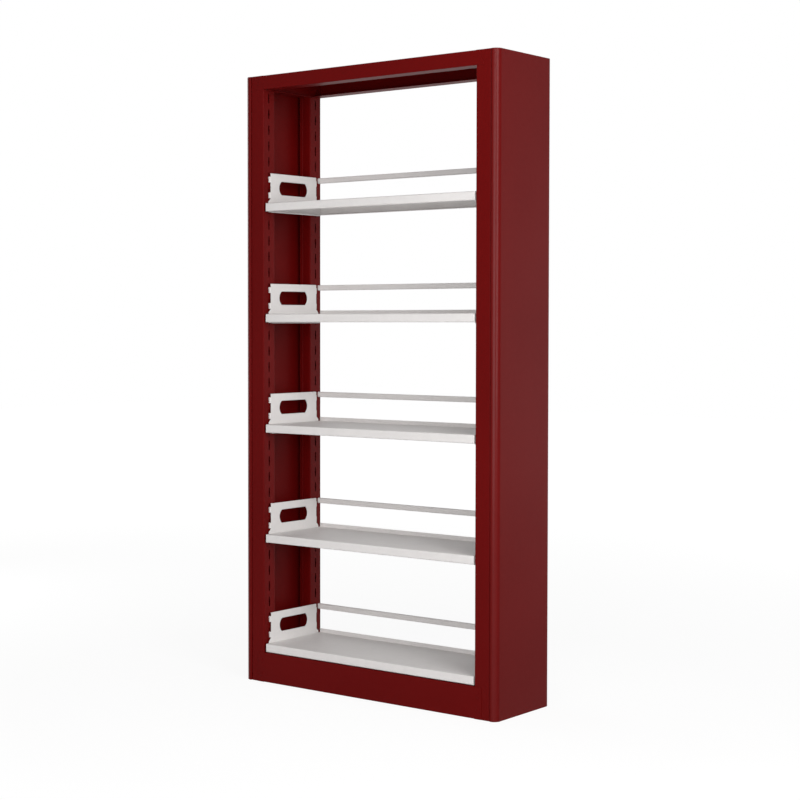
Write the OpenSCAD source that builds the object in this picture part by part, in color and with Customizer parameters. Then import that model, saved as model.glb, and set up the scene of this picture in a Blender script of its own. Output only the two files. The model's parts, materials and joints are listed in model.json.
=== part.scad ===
/* [Case] */
// Overall width
case_width = 1000; // [800:10:1200]
// Overall depth
case_depth = 300; // [280:5:360]
// Overall height
case_height = 2000; // [1900:10:2300]

/* [Side covers] */
// Thickness of each side cover
cover_t = 25; // [24:1:36]
// Radius of the covers' outer upright edges
cover_nose_r = 20; // [8:1:20]
// Radius of the bead beside each column
cover_bead_r = 4; // [2:0.5:4]
// Width of the return folded in behind the bead
cover_return = 25; // [18:1:30]
// Sheet thickness of the covers
cover_sheet = 1.2; // [1:0.1:1.5]
// Sheet thickness of the inner panels between the columns
liner_sheet = 1; // [0.8:0.1:1.5]

/* [Columns] */
// Width of a column's face
column_face = 54; // [50:1:70]
// Depth of a column's slotted flange
column_flange = 55.5; // [50:0.5:62]
// Depth of the web that turns in from the slotted flange
column_web = 34; // [20:1:38]
// Width of the lip on the web
column_lip = 11.5; // [8:0.5:16]
// Depth of the return beside the cover
column_return = 25; // [20:1:35]
// Sheet thickness of the columns
column_sheet = 1.5; // [1.2:0.1:2]
// Inside radius of the columns' folds
column_fold_r = 1.5; // [1:0.5:4]
// How far a column's face lies behind the covers' beads
face_setback = 2.5; // [2.5:0.1:5]

/* [Slots] */
// Distance between slot centres
slot_pitch = 52; // [48:1:54]
// Length of a slot
slot_length = 32; // [30:0.5:36]
// Width of a slot
slot_width = 5; // [4:0.1:6]
// Diameter of the round middle of a slot
slot_eye = 8; // [6:0.5:12]
// Distance from the front or back of the case to the slot line
slot_inset = 30; // [28:0.5:34]

/* [Top panel] */
// Height of the top panel's front and back
top_h = 45; // [40:1:70]
// Depth of the lip folded in under the front and back
top_lip = 50; // [30:1:70]
// Height of the top panel's end flanges
top_end_h = 48; // [46:1:74]
// Width of the lip under an end flange
top_end_lip = 13; // [8:1:20]
// How far the front runs over a column's face at its lower edge
top_wing_low = 28; // [20:1:34]
// How far the front runs over a column's face at its upper edge
top_wing_high = 15; // [10:1:28]

/* [Kick plates] */
// Height of the kick plates
kick_h = 98; // [80:1:130]
// How far a kick plate runs over a column's face
kick_wing = 26; // [22:1:34]
// Width of the kick plates' upper and lower returns
kick_return = 18; // [12:1:19]
// Sheet thickness of the top panel and the kick plates
panel_sheet = 1.2; // [1:0.1:1.5]
// Inside radius of the panels' folds
panel_fold_r = 2; // [1:0.5:3]

/* [Ties] */
// Height of the channels that tie a front and a back column
tie_h = 45; // [30:1:60]
// Sheet thickness of the ties
tie_sheet = 1.5; // [1.2:0.1:2]

/* [Shelves] */
// Height of a shelf's front edge
shelf_h = 27; // [22:0.5:36]
// Height of the upstand along a shelf's rear edge
shelf_upstand = 13; // [8:0.5:20]
// Sheet thickness of the shelves
shelf_sheet = 1.2; // [1:0.1:1.5]
// Outside radius of a shelf's front edges
shelf_edge_r = 4; // [2:0.5:5]
// Width of the lip folded in under a shelf
shelf_lip = 15; // [10:1:20]
// Distance from the front of the case to a shelf's front edge
shelf_front_inset = 4; // [4:0.5:10]
// Distance from the back of the case to a shelf's rear edge
shelf_rear_inset = 11; // [10:0.5:16]
// Depth of the stiffening rib under a shelf
rib_depth = 12; // [8:1:18]
// Width of the stiffening rib
rib_width = 50; // [40:1:80]
// Number of slots from one shelf to the next
slots_per_shelf = 7; // [6:1:7]

/* [Brackets] */
// Height of a bracket above its shelf
bracket_h = 100; // [95:1:130]
// Sheet thickness of the brackets
bracket_sheet = 1.5; // [1.2:0.1:1.8]
// Inside radius of the folds of a bracket's top edge and hooks
bracket_fold_r = 1; // [0.8:0.1:1.2]
// Gap between a bracket's inner face and the slotted flange
bracket_gap = 5.5; // [5.5:0.5:8]
// How far a bracket's upright edges lie inside its hooks
bracket_edge_step = 3.5; // [3:0.5:5]
// Distance from the front or back of the case to the end of a bracket's foot
foot_inset = 22; // [18:0.5:25]
// Height of the foot above the shelf
foot_h = 17; // [12:0.5:17]
// Width of the ledge that carries the shelf
ledge_w = 12; // [8:1:16]
// Height of the lip turned down along the ledge's inner edge
ledge_lip = 3.2; // [3:0.1:4]
// Distance from the end of a bracket's foot to the end of that lip
ledge_lip_inset = 3; // [3:0.5:6]
// Inside radius of the ledge's folds
ledge_fold_r = 0.5; // [0.3:0.1:0.5]
// Length of the hand hole
grip_length = 145; // [100:1:160]
// Height of the hand hole
grip_h = 44; // [30:1:50]
// Radius of the hand hole's ends
grip_end_r = 26; // [25:1:40]
// Depth of the collar round the hand hole
grip_collar = 2.5; // [1.5:0.5:3]
// Height of a hook where it passes through its slot
hook_h = 19; // [14:0.5:19]
// How far a hook hangs down behind the slotted flange
hook_drop = 7; // [5:0.5:8]
// Thickness of the hook's tail behind the flange
hook_tail = 4; // [3:0.5:6]

/* [Rear rails] */
// Height of a rail
rail_h = 18; // [12:0.5:24]
// Depth of a rail
rail_depth = 10; // [9:0.5:12]
// Distance from a shelf's top to the underside of its rail
rail_z = 81; // [78:1:100]
// Distance from the back of the case to a rail's front
rail_inset = 19; // [17:0.5:22]
// Outside radius of a rail's front edges
rail_edge_r = 4; // [2:0.5:4.5]
// Sheet thickness of the rails
rail_sheet = 1.2; // [1:0.1:1.5]

/* [Screws] */
// Head diameter of the kick plate screws
kick_screw_head = 15; // [10:0.5:16]
// Head height of the kick plate screws
kick_screw_head_h = 1.2; // [0.8:0.1:1.3]
// Shank diameter of the kick plate screws
kick_screw_d = 6; // [4:0.5:8]
// Distance from a kick plate's lower edge to its lower screws
kick_screw_low = 27.5; // [20:0.5:32]
// Distance from a kick plate's upper edge to its upper screws
kick_screw_high = 25.5; // [20:0.5:32]
// Distance from the case's ends to the nearest cover screws
cover_screw_inset = 160; // [120:5:300]
// Head diameter of the inner screws
small_screw_head = 8; // [6:0.5:8]
// Head height of the inner screws
small_screw_head_h = 2; // [1:0.1:3]
// Shank diameter of the inner screws
small_screw_d = 4; // [3:0.5:5]
// Shank length of all screws
screw_length = 9; // [7:0.5:12]

/* [Clearances] */
// Gap between a shelf or bracket and what carries it
rest_gap = 0.3; // [0.3:0.1:0.5]
// Gap between sheets that slide past each other
side_gap = 0.5; // [0.3:0.1:0.8]
// Gap between a bracket's top edge and the slotted flange
bracket_edge_gap = 2.5; // [1:0.1:2.5]
// Gap between the lowest shelf and the kick plates
kick_gap = 2; // [1.8:0.1:6]
// Extra diameter of a screw hole
hole_gap = 0.4; // [0.2:0.1:1]

/* [Hidden] */
$fn = 48;
levels = [1, 2, 3, 4, 5];
sides = ["left", "right"];
fronts = ["front", "rear"];

wine_red = [0.42, 0.07, 0.07];
light_grey = [0.84, 0.83, 0.83];
zinc = [0.7, 0.71, 0.72];
cut = 1;

// Case: planes shared by the pieces, each for the right side or the front half
half_w = case_width / 2;
half_d = case_depth / 2;
cover_x = half_w - cover_t;
liner_x = cover_x - liner_sheet;
open_x = cover_x - column_face;
face_y = half_d - face_setback;
plate_y = face_y + panel_sheet;
liner_half = face_y - 2 * column_fold_r - column_sheet;
flange_end_y = face_y - column_flange;
lip_x = open_x + column_web + column_sheet / 2;
slot_y = half_d - slot_inset;
column_h = case_height - panel_sheet;
top_z = case_height - top_h;
top_end_z = case_height - top_end_h;

// Shelves and slots
shelf_top_1 = kick_h + kick_gap + shelf_h;
shelf_rise = slots_per_shelf * slot_pitch;
hook_z = foot_h + side_gap;
slot_z_1 = shelf_top_1 + hook_z - rest_gap + slot_length / 2;
slot_count = floor((top_end_z - slot_length / 2 - slot_z_1) / slot_pitch) + 1;
bracket_x = open_x - bracket_gap;
bracket_edge_x = open_x - bracket_edge_gap;
bracket_half = slot_y + bracket_sheet / 2 - bracket_edge_step;
grip_depth = bracket_sheet + grip_collar;
foot_half = half_d - foot_inset;
foot_shoulder = foot_h / 3;
grip_z = (bracket_h + foot_shoulder) / 2;
shelf_half = bracket_x - side_gap;
shelf_front_y = -half_d + shelf_front_inset;
shelf_rear_y = half_d - shelf_rear_inset;
rail_y = half_d - rail_inset;
tie_x = [open_x + column_sheet + column_fold_r, lip_x - column_sheet / 2 - column_fold_r];

// Screws
rail_screw_y = rail_y + (rail_sheet + rail_depth) / 2;
rail_screw_zs = [for (k = levels) shelf_z(k) + rail_z + rail_h / 2];
kick_screw_x = open_x + kick_wing / 2;
kick_screw_zs = [kick_screw_low, kick_h - kick_screw_high];
cover_screw_y = face_y - (column_return + column_fold_r) / 2;
cover_screw_last = 3;
cover_screw_rise = (case_height - 2 * cover_screw_inset) / cover_screw_last;
cover_screw_zs = [for (i = [0:cover_screw_last]) cover_screw_inset + i * cover_screw_rise];
top_screw_z = case_height - top_h / 2;

function shelf_z(level) = shelf_top_1 + (level - 1) * shelf_rise;
function heading(a, b) = (b - a) / norm(b - a);

// A rectangle whose corners, from the low one round, have the given radii
module rounded_rect(lo, hi, radii) {
  corners = [lo, [hi.x, lo.y], hi, [lo.x, hi.y]];
  inward = [[1, 1], [-1, 1], [-1, -1], [1, -1]];
  difference() {
    translate(lo) square(hi - lo);
    for (i = [0:3]) if (radii[i] > 0)
      translate(corners[i] + inward[i] * radii[i] / 2) square(radii[i], center = true);
  }
  for (i = [0:3]) if (radii[i] > 0) intersection() {
    translate(corners[i] + inward[i] * radii[i]) circle(r = radii[i]);
    translate(corners[i] + inward[i] * radii[i] / 2) square(radii[i], center = true);
  }
}

// One straight run of sheet, cut back at each end for its fold
module sheet_run(a, b, t, back_a, back_b) {
  way = heading(a, b);
  from = a + way * back_a;
  to = b - way * back_b;
  side = [abs(way.y), abs(way.x)] * t / 2;
  lo = [min(from.x, to.x), min(from.y, to.y)] - side;
  hi = [max(from.x, to.x), max(from.y, to.y)] + side;
  translate(lo) square(hi - lo);
}

// A right-angle fold at b, on the way from a to c
module sheet_fold(a, b, c, t, mid_r) {
  centre = b - heading(a, b) * mid_r + heading(b, c) * mid_r;
  outer_r = mid_r + t / 2;
  corner = [b.x < centre.x ? -outer_r : 0, b.y < centre.y ? -outer_r : 0];
  intersection() {
    translate(centre) difference() {
      circle(r = outer_r);
      circle(r = mid_r - t / 2);
    }
    translate(centre + corner) square(outer_r);
  }
}

// The section of a sheet folded at right angles along its middle line
module folded_sheet(pts, t, inner_r) {
  mid_r = inner_r + t / 2;
  last = len(pts) - 1;
  for (i = [0:last - 1])
    sheet_run(pts[i], pts[i + 1], t, i == 0 ? 0 : mid_r, i == last - 1 ? 0 : mid_r);
  for (i = [1:last - 1])
    sheet_fold(pts[i - 1], pts[i], pts[i + 1], t, mid_r);
}

// Extrusions whose sections are drawn in the Y-Z and X-Z planes
module along_x(from, to) {
  translate([from, 0, 0]) rotate([90, 0, 90]) linear_extrude(to - from) children();
}

module along_y(from, to) {
  translate([0, to, 0]) rotate([90, 0, 0]) linear_extrude(to - from) children();
}

module on_side(side) {
  if (side == "left") mirror([1, 0, 0]) children();
  else children();
}

module on_front(front) {
  if (front == "rear") mirror([0, 1, 0]) children();
  else children();
}

// A screw with its head on the plane through at, driven along +X
module screw_x(at, head_d, head_h, shank_d) {
  translate(at) rotate([0, 90, 0]) {
    translate([0, 0, -head_h]) difference() {
      union() {
        cylinder(h = head_h / 2, d1 = head_d - head_h, d2 = head_d);
        translate([0, 0, head_h / 2]) cylinder(h = head_h / 2, d = head_d);
      }
      translate([0, 0, -cut]) cylinder(h = head_h / 2 + cut, d = shank_d / 2, $fn = 6);
    }
    cylinder(h = screw_length, d = shank_d);
  }
}

module hole_x(at, shank_d) {
  reach = column_sheet + cut;
  translate(at - [reach, 0, 0]) rotate([0, 90, 0]) cylinder(h = 2 * reach, d = shank_d + hole_gap);
}

module hole_y(at, shank_d) {
  reach = column_sheet + cut;
  translate(at - [0, reach, 0]) rotate([-90, 0, 0]) cylinder(h = 2 * reach, d = shank_d + hole_gap);
}

// Columns, drawn as the front right one
module slot_section() {
  square([slot_width, slot_length - slot_width], center = true);
  for (s = [-1, 1]) translate([0, s * (slot_length - slot_width) / 2]) circle(d = slot_width);
  circle(d = slot_eye);
}

module column(front) {
  t = column_sheet;
  path = [
    [liner_x - t / 2, -face_y + column_return],
    [liner_x - t / 2, -face_y + t / 2],
    [open_x + t / 2, -face_y + t / 2],
    [open_x + t / 2, -flange_end_y - t / 2],
    [lip_x, -flange_end_y - t / 2],
    [lip_x, -flange_end_y + column_lip]
  ];
  difference() {
    linear_extrude(column_h) folded_sheet(path, t, column_fold_r);
    for (i = [0:slot_count - 1]) translate([0, -slot_y, slot_z_1 + i * slot_pitch])
      along_x(open_x - cut, open_x + t + cut) slot_section();
    for (z = kick_screw_zs) hole_y([kick_screw_x, -face_y, z], kick_screw_d);
    hole_x([open_x, -slot_y, top_screw_z], small_screw_d);
    for (z = cover_screw_zs) hole_x([liner_x - t, -cover_screw_y, z], small_screw_d);
    if (front == "rear") for (z = rail_screw_zs)
      hole_x([open_x, -rail_screw_y, z], small_screw_d);
  }
}

// Side covers and inner panels, drawn on the right
module cover_section(in) {
  rounded_rect([cover_x + in, -half_d + in], [half_w - in, half_d - in],
    [cover_bead_r - in, cover_nose_r - in, cover_nose_r - in, cover_bead_r - in]);
}

module side_cover() {
  t = cover_sheet;
  difference() {
    linear_extrude(case_height) cover_section(0);
    translate([0, 0, t]) linear_extrude(case_height - 2 * t) cover_section(t);
    translate([cover_x - cut, -half_d + cover_return, t])
      cube([t + 2 * cut, 2 * (half_d - cover_return), case_height - 2 * t]);
    for (z = cover_screw_zs, s = [-1, 1])
      hole_x([cover_x, s * cover_screw_y, z], small_screw_d);
  }
}

module inner_panel() {
  difference() {
    translate([liner_x, -liner_half, 0]) cube([liner_sheet, 2 * liner_half, column_h]);
    for (z = cover_screw_zs, s = [-1, 1])
      hole_x([liner_x, s * cover_screw_y, z], small_screw_d);
  }
}

// Ties between a front and a back column
module tie_walls(z) {
  for (x = [tie_x[0], tie_x[1] - tie_sheet])
    translate([x, -flange_end_y, z]) cube([tie_sheet, 2 * flange_end_y, tie_h]);
}

module base_tie() {
  tie_walls(0);
  translate([tie_x[0], -flange_end_y, 0])
    cube([tie_x[1] - tie_x[0], 2 * flange_end_y, tie_sheet]);
}

module top_tie() {
  tie_walls(column_h - tie_h);
  translate([open_x + side_gap, -face_y, column_h])
    cube([liner_x - open_x - side_gap, 2 * face_y, panel_sheet]);
  translate([liner_x, -liner_half, column_h])
    cube([liner_sheet, 2 * liner_half, panel_sheet]);
}

// Top panel, a tray with a lipped front, back and ends
module top_wing() {
  along_y(-plate_y, -face_y) polygon([
    [open_x, top_z], [open_x + top_wing_low, top_z],
    [open_x + top_wing_high, case_height], [open_x, case_height]
  ]);
}

module top_end() {
  t = panel_sheet;
  r = panel_fold_r + t;
  between_lips = plate_y - top_lip;
  along_x(open_x - t, open_x)
    rounded_rect([-plate_y, top_z], [plate_y, case_height], [r, r, r, r]);
  translate([open_x - t, -between_lips, top_end_z])
    cube([t, 2 * between_lips, top_end_h - t]);
  translate([open_x - top_end_lip, -between_lips, top_end_z])
    cube([top_end_lip, 2 * between_lips, t]);
}

module top_panel() {
  t = panel_sheet;
  y = plate_y - t / 2;
  path = [
    [-plate_y + top_lip, top_z + t / 2],
    [-y, top_z + t / 2],
    [-y, case_height - t / 2],
    [y, case_height - t / 2],
    [y, top_z + t / 2],
    [plate_y - top_lip, top_z + t / 2]
  ];
  difference() {
    union() {
      along_x(-open_x + t, open_x - t) folded_sheet(path, t, panel_fold_r);
      for (s = sides, f = fronts) on_side(s) on_front(f) top_wing();
      for (s = sides) on_side(s) top_end();
    }
    for (s = sides, f = fronts) on_side(s) on_front(f)
      hole_x([open_x, -slot_y, top_screw_z], small_screw_d);
  }
}

// Kick plate, drawn as the front one
module kick_plate() {
  t = panel_sheet;
  y = -plate_y + t / 2;
  end_x = open_x - side_gap;
  path = [
    [-plate_y + kick_return, kick_h - t / 2],
    [y, kick_h - t / 2],
    [y, t / 2],
    [-plate_y + kick_return, t / 2]
  ];
  difference() {
    union() {
      along_x(-end_x, end_x) folded_sheet(path, t, panel_fold_r);
      for (s = sides) on_side(s) translate([end_x, -plate_y, 0])
        cube([kick_wing + side_gap, t, kick_h]);
    }
    for (s = sides, z = kick_screw_zs) on_side(s)
      hole_y([kick_screw_x, -face_y, z], kick_screw_d);
  }
}

// Screws
module kick_plate_screws() {
  for (s = sides, f = fronts, z = kick_screw_zs) on_side(s) on_front(f)
    translate([kick_screw_x, -plate_y, z]) rotate([0, 0, 90])
      screw_x([0, 0, 0], kick_screw_head, kick_screw_head_h, kick_screw_d);
}

module top_panel_screws() {
  for (s = sides, f = fronts) on_side(s) on_front(f)
    screw_x([open_x - panel_sheet, -slot_y, top_screw_z],
      small_screw_head, small_screw_head_h, small_screw_d);
}

module cover_screws() {
  for (s = sides, f = fronts, z = cover_screw_zs) on_side(s) on_front(f)
    screw_x([liner_x - column_sheet, -cover_screw_y, z],
      small_screw_head, small_screw_head_h, small_screw_d);
}

module rail_screws() {
  for (s = sides, z = rail_screw_zs) on_side(s)
    screw_x([open_x - rail_sheet, rail_screw_y, z],
      small_screw_head, small_screw_head_h, small_screw_d);
}

// Shelf boards, drawn with the top face at Z 0
module shelf_block(in) {
  r = shelf_edge_r - in;
  lo = [shelf_front_y + in, -shelf_h + in];
  hi = [shelf_rear_y - in, -in];
  x = shelf_half - in;
  intersection() {
    along_x(-x, x) rounded_rect(lo, hi, [r, 0, 0, r]);
    translate([0, 0, -shelf_h]) linear_extrude(shelf_h)
      rounded_rect([-x, lo.x], [x, hi.x], [r, r, 0, 0]);
  }
}

module shelf_rib() {
  t = shelf_sheet;
  x = shelf_half - t;
  difference() {
    translate([-x, -rib_width / 2, -t - rib_depth]) cube([2 * x, rib_width, rib_depth]);
    translate([-x - cut, -rib_width / 2 + t, -rib_depth])
      cube([2 * (x + cut), rib_width - 2 * t, rib_depth]);
  }
}

module shelf_board() {
  t = shelf_sheet;
  difference() {
    shelf_block(0);
    shelf_block(t);
    translate([-shelf_half + shelf_lip, shelf_front_y + shelf_lip, -shelf_h - cut])
      cube([2 * (shelf_half - shelf_lip), shelf_rear_y - shelf_front_y - 2 * shelf_lip, t + 2 * cut]);
  }
  translate([-shelf_half, shelf_rear_y - 2 * t, -t])
    cube([2 * shelf_half, 2 * t, shelf_upstand + t]);
  shelf_rib();
}

// Brackets, drawn on the right with the shelf's top face at Z 0
module grip_section(out) {
  intersection() {
    square([grip_length + 2 * out, grip_h + 2 * out], center = true);
    union() {
      for (s = [-1, 1]) translate([s * (grip_length / 2 - grip_end_r), 0])
        circle(r = grip_end_r + out);
      square([grip_length - 2 * grip_end_r, grip_h + 2 * out], center = true);
    }
  }
}

module bracket_plate() {
  t = bracket_sheet;
  along_y(-bracket_half, bracket_half) folded_sheet([
    [bracket_edge_x, bracket_h - t / 2],
    [bracket_x + t / 2, bracket_h - t / 2],
    [bracket_x + t / 2, foot_h]
  ], t, bracket_fold_r);
}

module bracket_foot() {
  t = bracket_sheet;
  ledge_x = bracket_x - ledge_w;
  ledge_z = -shelf_h - rest_gap - t / 2;
  base = -shelf_h - rest_gap - ledge_lip;
  lip_half = foot_half - ledge_lip_inset;
  along_y(-lip_half, lip_half) folded_sheet([
    [ledge_x + t / 2, base],
    [ledge_x + t / 2, ledge_z],
    [bracket_x - ledge_fold_r, ledge_z]
  ], t, ledge_fold_r);
  intersection() {
    along_y(-foot_half, foot_half) folded_sheet([
      [ledge_x + t + ledge_fold_r, ledge_z],
      [bracket_x + t / 2, ledge_z],
      [bracket_x + t / 2, foot_h]
    ], t, ledge_fold_r);
    along_x(ledge_x, bracket_edge_x) polygon([
      [-foot_half, base], [foot_half, base], [foot_half, foot_shoulder],
      [bracket_half, foot_h], [-bracket_half, foot_h], [-foot_half, foot_shoulder]
    ]);
  }
}

// Drawn at the front, with the slot line at Y 0
module bracket_hook() {
  t = bracket_sheet;
  tail_x = open_x + column_sheet + side_gap;
  linear_extrude(hook_h) folded_sheet([
    [bracket_x + t / 2, 2 * bracket_edge_step],
    [bracket_x + t / 2, 0],
    [bracket_edge_x, 0]
  ], t, bracket_fold_r);
  translate([0, t / 2, 0]) rotate([90, 0, 0]) linear_extrude(t) polygon([
    [bracket_edge_x - side_gap, 0], [tail_x, 0], [tail_x, -hook_drop],
    [tail_x + hook_tail, -hook_drop], [tail_x + hook_tail, hook_h],
    [bracket_edge_x - side_gap, hook_h]
  ]);
}

module shelf_bracket() {
  difference() {
    union() {
      bracket_plate();
      translate([0, 0, grip_z])
        along_x(bracket_x, bracket_x + grip_depth) grip_section(bracket_sheet);
    }
    translate([0, 0, grip_z])
      along_x(bracket_x - cut, bracket_x + grip_depth + cut) grip_section(0);
  }
  bracket_foot();
  for (f = fronts, i = [0, 1])
    on_front(f) translate([0, -slot_y, hook_z + i * slot_pitch]) bracket_hook();
}

// Rear rails, drawn with the shelf's top face at Z 0
module rear_rail() {
  t = rail_sheet;
  r = rail_edge_r;
  lo = [rail_y, rail_z];
  hi = [rail_y + rail_depth, rail_z + rail_h];
  difference() {
    along_x(-open_x, open_x) rounded_rect(lo, hi, [r, 0, 0, r]);
    along_x(-open_x + t, open_x - t)
      rounded_rect(lo + [t, t], hi + [cut, -t], [r - t, 0, 0, r - t]);
    for (s = sides) on_side(s)
      hole_x([open_x, rail_screw_y, rail_z + rail_h / 2], small_screw_d);
  }
}

for (f = fronts, s = sides)
  color(wine_red) on_side(s) on_front(f) column(f);
for (s = sides) {
  color(wine_red) on_side(s) side_cover();
  color(wine_red) on_side(s) inner_panel();
  color(wine_red) on_side(s) base_tie();
  color(wine_red) on_side(s) top_tie();
}
color(wine_red) top_panel();
color(wine_red) kick_plate();  // front_kick_plate
color(wine_red) on_front("rear") kick_plate();  // rear_kick_plate
color(wine_red) kick_plate_screws();
color(wine_red) top_panel_screws();
color(zinc) cover_screws();
color(zinc) rail_screws();
for (k = levels) {
  color(light_grey) translate([0, 0, shelf_z(k)]) shelf_board();
  for (s = sides) color(light_grey) translate([0, 0, shelf_z(k)]) on_side(s) shelf_bracket();
  color(light_grey) translate([0, 0, shelf_z(k)]) rear_rail();
}
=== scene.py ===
import itertools
import json
import math

import bmesh
import bpy
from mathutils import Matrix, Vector

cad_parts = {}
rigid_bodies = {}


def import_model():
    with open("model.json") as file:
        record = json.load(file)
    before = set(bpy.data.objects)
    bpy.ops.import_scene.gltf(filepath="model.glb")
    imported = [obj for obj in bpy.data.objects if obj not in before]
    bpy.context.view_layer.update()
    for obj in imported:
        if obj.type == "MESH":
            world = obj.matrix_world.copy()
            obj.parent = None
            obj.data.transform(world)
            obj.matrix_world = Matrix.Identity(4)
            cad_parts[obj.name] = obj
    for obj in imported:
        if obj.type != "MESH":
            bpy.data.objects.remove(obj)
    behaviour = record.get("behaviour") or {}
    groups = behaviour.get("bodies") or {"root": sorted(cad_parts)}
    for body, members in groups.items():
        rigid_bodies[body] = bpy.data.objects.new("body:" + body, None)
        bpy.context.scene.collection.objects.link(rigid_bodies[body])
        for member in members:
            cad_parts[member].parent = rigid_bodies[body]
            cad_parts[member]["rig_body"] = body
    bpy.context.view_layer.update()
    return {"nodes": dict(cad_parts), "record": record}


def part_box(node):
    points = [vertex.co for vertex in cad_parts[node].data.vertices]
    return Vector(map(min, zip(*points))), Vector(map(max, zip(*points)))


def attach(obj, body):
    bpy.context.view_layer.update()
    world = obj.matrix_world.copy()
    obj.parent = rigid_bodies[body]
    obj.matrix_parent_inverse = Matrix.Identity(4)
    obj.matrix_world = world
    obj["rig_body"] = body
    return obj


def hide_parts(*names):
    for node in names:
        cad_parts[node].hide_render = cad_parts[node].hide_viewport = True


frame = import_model()
nodes = frame["nodes"]
slotOf = {part["node"]: part["material_slot"] for part in frame["record"]["subparts"]}
levels = [1, 2, 3, 4, 5]
sides = ["left", "right"]
ends = ["front", "rear"]
print("frame loaded:", len(nodes), "nodes")

# Camera, at the photograph's place and angle
view = {
    "at": (3.32583, -4.39692, 1.19309),
    "turn": (88.069, 0.0, 39.256),
    "lens": 77.314,
    "sensor": 36.0,
    "shift": (0.08984, -0.02524),
}


def makeCamera(view):
    lens = bpy.data.cameras.new("camera")
    lens.lens = view["lens"]
    lens.sensor_width = view["sensor"]
    lens.shift_x, lens.shift_y = view["shift"]
    camera = bpy.data.objects.new("camera", lens)
    camera.location = view["at"]
    camera.rotation_euler = [math.radians(angle) for angle in view["turn"]]
    bpy.context.scene.collection.objects.link(camera)
    bpy.context.scene.camera = camera


makeCamera(view)
print("camera set")


# A number on its way through a material, written as arithmetic
class Signal:
    def __init__(self, finish, socket):
        self.finish = finish
        self.socket = socket

    def combine(self, operation, first, second):
        return self.finish.add("Math", {"operation": operation}, {0: first, 1: second})

    def __add__(self, other):
        return self.combine("ADD", self, other)

    def __radd__(self, other):
        return self.combine("ADD", other, self)

    def __mul__(self, other):
        return self.combine("MULTIPLY", self, other)


# A material or world under construction: add() makes any node and gives back one of its outputs
class Finish:
    def __init__(self, owner):
        owner.use_nodes = True
        self.owner = owner
        self.tree = owner.node_tree
        self.tree.nodes.clear()

    def add(self, kind, settings=None, sockets=None, output=0):
        node = self.tree.nodes.new("ShaderNode" + kind)
        for key, value in (settings or {}).items():
            if key == "stops":
                ramp = node.color_ramp.elements
                for stop, (place, level) in zip((ramp[0], ramp[1]), value):
                    stop.position = place
                    stop.color = (level, level, level, 1)
            else:
                setattr(node, key, value)
        for key, value in (sockets or {}).items():
            if isinstance(value, Signal):
                self.tree.links.new(value.socket, node.inputs[key])
            else:
                node.inputs[key].default_value = value
        return Signal(self, node.outputs[output]) if node.outputs else None

    def noise(self, place, layer):
        scale, detail, roughness = layer
        sockets = {"Vector": place, "Scale": scale, "Detail": detail, "Roughness": roughness}
        return self.add("TexNoise", {}, sockets, "Fac")

    def ramp(self, value, low, high):
        return self.add("ValToRGB", {"stops": [(low, 0.0), (high, 1.0)]}, {"Fac": value})

    # Sockets 6 and 7 and output 2 are the mix node's colours
    def blend(self, factor, first, second):
        return self.add("Mix", {"data_type": "RGBA"}, {0: factor, 6: first, 7: second}, 2)


# Powder coats: a baked film with slow changes of tone, orange peel and a fine grain, rubbed at the arrises
redCoat = {
    "name": "wineRedCoat",
    "colour": (0.127, 0.0021, 0.0020, 1),
    "deeper": (0.110, 0.0015, 0.0015, 1),
    "rubbed": (0.15, 0.012, 0.011, 1),
    "roughness": 0.46,
    "specular": 0.06,
    "polish": 0.2,
}
greyCoat = {
    "name": "lightGreyCoat",
    "colour": (0.80, 0.774, 0.762, 1),
    "deeper": (0.745, 0.720, 0.708, 1),
    "rubbed": (0.66, 0.655, 0.655, 1),
    "roughness": 0.45,
    "specular": 0.1,
    "polish": 0.0,
}
coatLayers = {  # scale, detail and roughness of each layer's noise
    "film": (2.2, 3.0, 0.5),
    "mottle": (60.0, 2.0, 0.5),
    "peel": (340.0, 1.0, 0.5),
    "grain": (1500.0, 1.0, 0.5),
    "rub": (45.0, 4.0, 0.6),
}
coatTone = {"film": 0.6, "mottle": 0.25, "grain": 0.15, "stops": (0.35, 0.65)}
coatWear = {"everywhere": 0.25, "patches": 0.5, "stops": (0.5, 0.68)}
coatGloss = {"least": -0.04, "tone": 0.05, "peel": 0.05, "worn": -0.1}
coatBump = {"peel": 0.00006, "grain": 0.000012}
polishRoughness = 0.2


def makeCoat(coat):
    finish = Finish(bpy.data.materials.new(coat["name"]))
    place = finish.add("TexCoord", output="Object")
    film = finish.noise(place, coatLayers["film"])
    mottle = finish.noise(place, coatLayers["mottle"])
    peel = finish.noise(place, coatLayers["peel"])
    grain = finish.noise(place, coatLayers["grain"])
    rub = finish.ramp(finish.noise(place, coatLayers["rub"]), *coatWear["stops"])
    arris = finish.add("Attribute", {"attribute_name": "arris"}, output="Fac")
    handled = finish.add("Attribute", {"attribute_name": "handled"}, output="Fac")
    mixed = film * coatTone["film"] + mottle * coatTone["mottle"] + grain * coatTone["grain"]
    tone = finish.ramp(mixed, *coatTone["stops"])
    colour = finish.blend(tone, coat["colour"], coat["deeper"])
    wear = arris * (coatWear["everywhere"] + rub * coatWear["patches"])
    colour = finish.blend(wear, colour, coat["rubbed"])
    gloss = tone * coatGloss["tone"] + peel * coatGloss["peel"] + arris * rub * coatGloss["worn"]
    roughness = coat["roughness"] + coatGloss["least"] + gloss
    height = peel * coatBump["peel"] + grain * coatBump["grain"]
    bump = finish.add("Bump", {}, {"Strength": 1.0, "Distance": 1.0, "Height": height})
    shader = finish.add("BsdfPrincipled", {}, {
        "Base Color": colour,
        "Roughness": roughness,
        "Normal": bump,
        "Specular IOR Level": coat["specular"],
        "Coat Weight": handled * coat["polish"],
        "Coat Roughness": polishRoughness,
    })
    finish.add("OutputMaterial", {}, {"Surface": shader})
    return finish.owner


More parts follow.
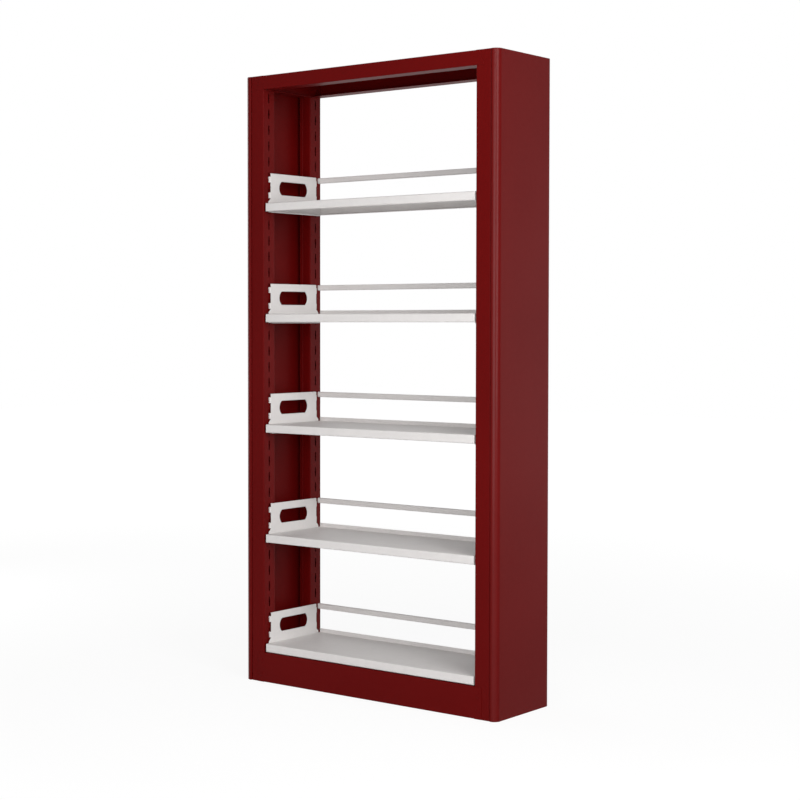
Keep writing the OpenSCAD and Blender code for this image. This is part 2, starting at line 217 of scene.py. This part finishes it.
# Zinc on the hidden fasteners: a bright plate with a passivated, slightly clouded film
zincPlate = {
    "name": "zincPlate",
    "colour": (0.60, 0.61, 0.63, 1),
    "clouded": (0.46, 0.47, 0.46, 1),
    "roughness": 0.28,
    "dulled": 0.14,
    "cloud": (260.0, 3.0, 0.5),
    "cloudStops": (0.4, 0.62),
    "brush": (2400.0, 1.0, 0.5),
    "brushHeight": 0.00001,
}


def makeZinc(plate):
    finish = Finish(bpy.data.materials.new(plate["name"]))
    place = finish.add("TexCoord", output="Object")
    cloud = finish.ramp(finish.noise(place, plate["cloud"]), *plate["cloudStops"])
    brush = finish.noise(place, plate["brush"])
    colour = finish.blend(cloud, plate["colour"], plate["clouded"])
    height = brush * plate["brushHeight"]
    bump = finish.add("Bump", {}, {"Strength": 1.0, "Distance": 1.0, "Height": height})
    shader = finish.add("BsdfPrincipled", {}, {
        "Base Color": colour,
        "Roughness": plate["roughness"] + cloud * plate["dulled"],
        "Metallic": 1.0,
        "Normal": bump,
    })
    finish.add("OutputMaterial", {}, {"Surface": shader})
    return finish.owner


materials = {
    "wine_red_coat": makeCoat(redCoat),
    "light_grey_coat": makeCoat(greyCoat),
    "zinc_plate": makeZinc(zincPlate),
}
for name, node in nodes.items():
    node.data.materials.clear()
    node.data.materials.append(materials[slotOf[name]])
print("materials made:", len(materials))

# Sheet metal whose sheared edges are broken, from a merged copy of a node: metres and degrees
arc = 0.5  # profile of a bevel that is rounded as part of a circle
sheetEdge = {
    "weld": 0.000004,
    "flat": 0.2,
    "sharp": 48.0,
    "tip": 40.0,
    "width": 0.0003,
    "segments": 2,
    "smooth": 40.0,
}


def bodyOf(name):
    return nodes[name]["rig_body"]


def mergedCopy(name):
    bm = bmesh.new()
    bm.from_mesh(nodes[name].data)
    bmesh.ops.remove_doubles(bm, verts=bm.verts, dist=sheetEdge["weld"])
    bmesh.ops.dissolve_limit(
        bm, angle_limit=math.radians(sheetEdge["flat"]), use_dissolve_boundaries=False,
        verts=bm.verts, edges=bm.edges, delimit=set())
    return bm


def breakEdges(bm, edges, width, segments):
    arris = bm.verts.layers.float.get("arris") or bm.verts.layers.float.new("arris")
    made = bmesh.ops.bevel(
        bm, geom=edges, offset=width, offset_type="OFFSET", segments=segments, profile=arc,
        affect="EDGES", clamp_overlap=False, loop_slide=True, material=-1)
    strip = set(made["faces"])
    for vert in made["verts"]:
        if all(face in strip for face in vert.link_faces):
            vert[arris] = 1.0


def isSharp(edge):
    return edge.is_manifold and edge.calc_face_angle() > math.radians(sheetEdge["sharp"])


# Sharp edges, but for those that run into a thin tip, where there is no room for a bevel
def sharpEdges(bm):
    limit = math.radians(sheetEdge["tip"])
    sharp = [edge for edge in bm.edges if isSharp(edge)]
    tips = set()
    for vert in bm.verts:
        met = [edge for edge in vert.link_edges if isSharp(edge)]
        for first, second in itertools.combinations(met, 2):
            ways = [edge.other_vert(vert).co - vert.co for edge in (first, second)]
            if ways[0].angle(ways[1]) < limit:
                tips.update((first, second))
    return [edge for edge in sharp if edge not in tips]


def finishPiece(bm, pieceName, nodeName):
    mesh = bpy.data.meshes.new(pieceName)
    bm.to_mesh(mesh)
    bm.free()
    mesh.shade_smooth()
    mesh.set_sharp_from_angle(angle=math.radians(sheetEdge["smooth"]))
    mesh.materials.append(materials[slotOf[nodeName]])
    piece = bpy.data.objects.new(pieceName, mesh)
    bpy.context.scene.collection.objects.link(piece)
    normals = piece.modifiers.new("normals", "WEIGHTED_NORMAL")
    normals.keep_sharp = True
    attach(piece, bodyOf(nodeName))
    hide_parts(nodeName)


def makeSheetPiece(nodeName):
    bm = mergedCopy(nodeName)
    breakEdges(bm, sharpEdges(bm), sheetEdge["width"], sheetEdge["segments"])
    finishPiece(bm, nodeName + "_sheet", nodeName)


caseNodes = [f"{side}_{end}_column" for end in ends for side in sides]
caseNodes += ["top_panel", "front_kick_plate", "rear_kick_plate"]
shelfNodes = [f"shelf_{level}" for level in levels] + [f"shelf_{level}_rear_rail" for level in levels]
for name in caseNodes + shelfNodes:
    makeSheetPiece(name)
print("case, shelves and rails made:", len(caseNodes + shelfNodes))

# Side covers: one folded sheet each, with a bullnose at front and back and a bead beside each column
sideCover = {
    "sheet": 0.0012,
    "nose": 0.020,
    "noseSteps": 18,
    "bead": 0.004,
    "beadSteps": 8,
    "return": 0.025,
    "near": 0.0001,
    "facing": 0.9,
}


def uprightEdges(bm, x):
    near = sideCover["near"]
    return [edge for edge in bm.edges if all(abs(vert.co.x - x) < near for vert in edge.verts)
            and abs(edge.verts[0].co.z - edge.verts[1].co.z) > near]


def roundUpright(bm, x, radius, steps):
    bmesh.ops.bevel(
        bm, geom=uprightEdges(bm, x), offset=radius, offset_type="OFFSET", segments=steps,
        profile=arc, affect="EDGES", material=-1)


def makeSideCover(side):
    nodeName = side + "_side_cover"
    low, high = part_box(nodeName)
    inner, outer = (low.x, high.x) if side == "right" else (high.x, low.x)
    bm = bmesh.new()
    bmesh.ops.create_cube(bm, size=1.0)
    bmesh.ops.scale(bm, verts=bm.verts, vec=high - low)
    bmesh.ops.translate(bm, verts=bm.verts, vec=(low + high) / 2)
    roundUpright(bm, outer, sideCover["nose"], sideCover["noseSteps"])
    roundUpright(bm, inner, sideCover["bead"], sideCover["beadSteps"])
    for end in (low.y + sideCover["return"], high.y - sideCover["return"]):
        whole = list(bm.verts) + list(bm.edges) + list(bm.faces)
        bmesh.ops.bisect_plane(bm, geom=whole, plane_co=(0, end, 0), plane_no=(0, 1, 0))
    opening = [face for face in bm.faces if abs(face.normal.x) > sideCover["facing"]
               and all(abs(vert.co.x - inner) < sideCover["near"] for vert in face.verts)
               and abs(face.calc_center_median().y) < sideCover["return"]]
    bmesh.ops.delete(bm, geom=opening, context="FACES")
    bmesh.ops.recalc_face_normals(bm, faces=bm.faces)
    bmesh.ops.solidify(bm, geom=list(bm.faces), thickness=sideCover["sheet"])
    breakEdges(bm, sharpEdges(bm), sheetEdge["width"], sheetEdge["segments"])
    handled = bm.verts.layers.float.new("handled")
    for vert in bm.verts:  # most handled halfway round the nose
        turn = 1 - abs(outer - vert.co.x) / sideCover["nose"]
        vert[handled] = max(0.0, min(1.0, 4 * turn * (1 - turn)))
    finishPiece(bm, nodeName + "_sheet", nodeName)


for side in sides:
    makeSideCover(side)
print("side covers made:", len(sides))

# Brackets, whose hand holes have a rim rolled outward from the smooth face
handHole = {
    "face": 0.4155,
    "halfLength": 0.0735,
    "halfHeight": 0.0225,
    "upstand": 0.013,  # of the shelf, above its top face
    "height": 0.0528,  # of the hole's centre above that face
    "roll": 0.0028,
    "segments": 5,
}


def rimEdges(bm, side, centre):
    facing = 1 if side == "right" else -1
    found = []
    for edge in bm.edges:
        points = [vert.co for vert in edge.verts]
        onFace = all(abs(facing * co.x - handHole["face"]) < sheetEdge["width"] for co in points)
        along = all(abs(co.y) < handHole["halfLength"] for co in points)
        across = all(abs(co.z - centre) < handHole["halfHeight"] for co in points)
        if onFace and along and across:
            found.append(edge)
    return found


def makeBracket(level, side):
    nodeName = f"shelf_{level}_{side}_bracket"
    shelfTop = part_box(f"shelf_{level}")[1].z - handHole["upstand"]
    centre = shelfTop + handHole["height"]
    bm = mergedCopy(nodeName)
    rim = rimEdges(bm, side, centre)
    others = [edge for edge in sharpEdges(bm) if edge not in set(rim)]
    breakEdges(bm, others, sheetEdge["width"], sheetEdge["segments"])
    rim = [edge for edge in rimEdges(bm, side, centre) if isSharp(edge)]
    breakEdges(bm, rim, handHole["roll"], handHole["segments"])
    finishPiece(bm, nodeName + "_sheet", nodeName)


for level in levels:
    for side in sides:
        makeBracket(level, side)
print("brackets made:", len(levels) * len(sides))

# Floor, lamps and surroundings
studio = {
    "floorSize": 30.0,
    "floorDrop": 0.0003,
    "floorColour": (0.88, 0.88, 0.88, 1),
    "floorShade": 0.14,
    "floorWhite": (1.05, 1.17),
    "floorFade": (0.04, 0.2),
    "ambient": 0.13,
    "lamps": {
        "keySoftbox": {"at": (2.9, -1.35, 1.9), "aim": (0, 0, 1.1), "size": (1.2, 2.4), "watts": 55},
        "frontSoftbox": {"at": (1.3, -4.5, 1.4), "aim": (0, 0, 1.1), "size": (3.2, 2.4), "watts": 86},
        "topSoftbox": {"at": (2.0, -2.3, 3.0), "aim": (0, 0, 1.3), "size": (1.4, 1.4), "watts": 20},
        "sheenSoftbox": {"at": (2.4, 2.6, 1.3), "aim": (0.5, 0, 1.0), "size": (1.6, 2.4), "watts": 9},
        "backSoftbox": {"at": (0.9, 4.8, 0.9), "aim": (0, 0, 1.0), "size": (2.4, 1.6), "watts": 20},
        "leftSoftbox": {"at": (-3.2, 0, 1.4), "aim": (-0.5, 0, 1.0), "size": (1.2, 2.0), "watts": 20},
        "overheadSoftbox": {"at": (0, 0.1, 3.3), "aim": (0, 0.1, 2.0), "size": (1.2, 0.5), "watts": 8},
    },
}


def seenDirectly(finish):
    kinds = ("Is Camera Ray", "Is Glossy Ray", "Is Transmission Ray")
    camera, glossy, transmission = [finish.add("LightPath", output=kind) for kind in kinds]
    return finish.add("Math", {"operation": "MINIMUM"}, {0: camera + glossy + transmission, 1: 1.0})


def makeFloor(studio):
    bm = bmesh.new()
    bmesh.ops.create_grid(bm, x_segments=1, y_segments=1, size=studio["floorSize"] / 2)
    bmesh.ops.translate(bm, verts=bm.verts, vec=(0, 0, -studio["floorDrop"]))
    mesh = bpy.data.meshes.new("floor")
    bm.to_mesh(mesh)
    bm.free()
    floor = bpy.data.objects.new("floor", mesh)
    bpy.context.scene.collection.objects.link(floor)
    finish = Finish(bpy.data.materials.new("paleFloor"))
    matte = finish.add("BsdfDiffuse", {}, {"Color": studio["floorColour"]})
    near, far = studio["floorWhite"]
    place = finish.add("TexCoord", output="Object")
    distance = finish.add("VectorMath", {"operation": "LENGTH"}, {0: place}, "Value")
    away = finish.ramp(distance * (1 / studio["floorSize"]), *studio["floorFade"])
    white = finish.add("Emission", {}, {"Strength": near + away * (far - near)})
    share = seenDirectly(finish) * (1 - studio["floorShade"])
    shader = finish.add("MixShader", {}, {0: share, 1: matte, 2: white})
    finish.add("OutputMaterial", {}, {"Surface": shader})
    mesh.materials.append(finish.owner)


def makeWorld(studio):
    world = bpy.data.worlds.new("studio")
    bpy.context.scene.world = world
    finish = Finish(world)
    strength = studio["ambient"] + seenDirectly(finish) * (1 - studio["ambient"])
    background = finish.add("Background", {}, {"Color": (1, 1, 1, 1), "Strength": strength})
    finish.add("OutputWorld", {}, {"Surface": background})


def makeLamp(name, lamp):
    light = bpy.data.lights.new(name, "AREA")
    light.shape = "RECTANGLE"
    light.size, light.size_y = lamp["size"]
    light.energy = lamp["watts"]
    box = bpy.data.objects.new(name, light)
    box.location = lamp["at"]
    box.visible_camera = False
    heading = Vector(lamp["aim"]) - Vector(lamp["at"])
    box.rotation_euler = heading.to_track_quat("-Z", "Y").to_euler()
    bpy.context.scene.collection.objects.link(box)


makeFloor(studio)
makeWorld(studio)
for name, lamp in studio["lamps"].items():
    makeLamp(name, lamp)
bpy.context.scene.view_settings.view_transform = "Standard"
print("floor, world and", len(studio["lamps"]), "lamps set")
